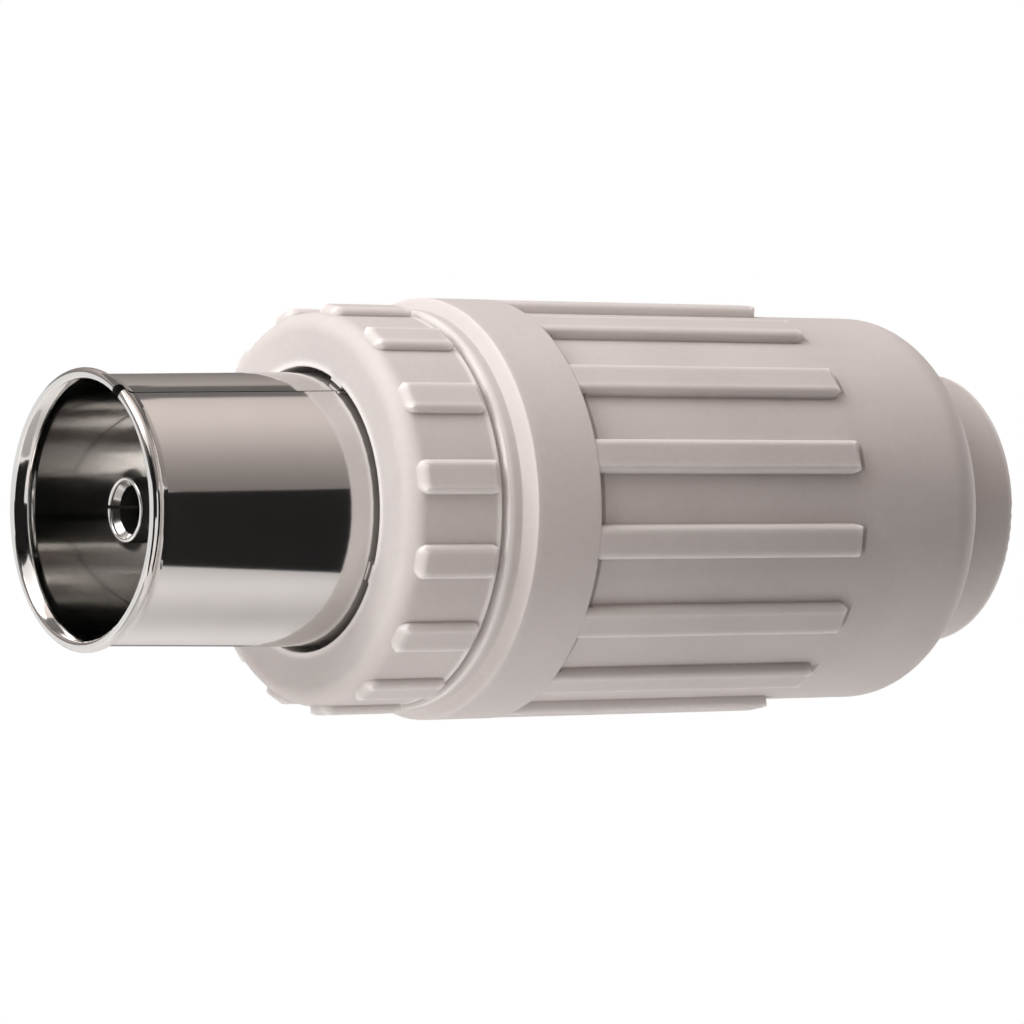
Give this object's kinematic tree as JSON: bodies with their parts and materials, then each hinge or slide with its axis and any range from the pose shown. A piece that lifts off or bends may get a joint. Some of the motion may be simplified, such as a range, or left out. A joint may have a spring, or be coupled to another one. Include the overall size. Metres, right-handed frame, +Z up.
{
  "type": "in-line coaxial aerial socket",
  "caption": "In-line coaxial aerial socket with a plated flared sleeve, a split centre contact and a two-part screwed grey plastic grip.",
  "frame": {"origin": "centre of the sleeve's mouth", "axes": "+X along the connector from the mouth to the cable entry, +Z up; the terminal screw faces +Z"},
  "size_m": [0.0417, 0.0168, 0.0168],
  "materials": {
    "grip_plastic": "satin warm light grey",
    "plated_sleeve": "bright nickel plate",
    "contact_metal": "nickel plate on brass",
    "insulator_plastic": "dark",
    "clamp_steel": "plated sheet"
  },
  "bodies": {
    "insert": {"outer_sleeve": "plated_sleeve", "insulator": "insulator_plastic", "centre_contact": "contact_metal", "braid_cradle": "clamp_steel"},
    "ring": {"front_ring": "grip_plastic"},
    "housing": {"rear_housing": "grip_plastic"},
    "terminal": {"terminal_screw": "clamp_steel"},
    "strap": {"clamp_strap": "clamp_steel", "strap_screws": "clamp_steel"}
  },
  "joints": [
    {"name": "ring_turn", "type": "hinge", "parent": "insert", "child": "ring", "pos_m": [0.0125, 0, 0], "axis": [-1, 0, 0], "range_deg": [0, 991]},
    {"name": "housing_slide", "type": "slide", "parent": "insert", "child": "housing", "axis": [1, 0, 0], "range_m": [0, 0.00413]},
    {"name": "terminal_lift", "type": "slide", "parent": "insert", "child": "terminal", "axis": [0, 0, 1], "range_m": [0, 0.0012]},
    {"name": "strap_lift", "type": "slide", "parent": "insert", "child": "strap", "axis": [0, 0, 1], "range_m": [0, 0.0008]}
  ],
  "couplings": [
    {"joint": "ring_turn", "follows": "housing_slide", "rad_per_m": 4188.8}
  ]
}
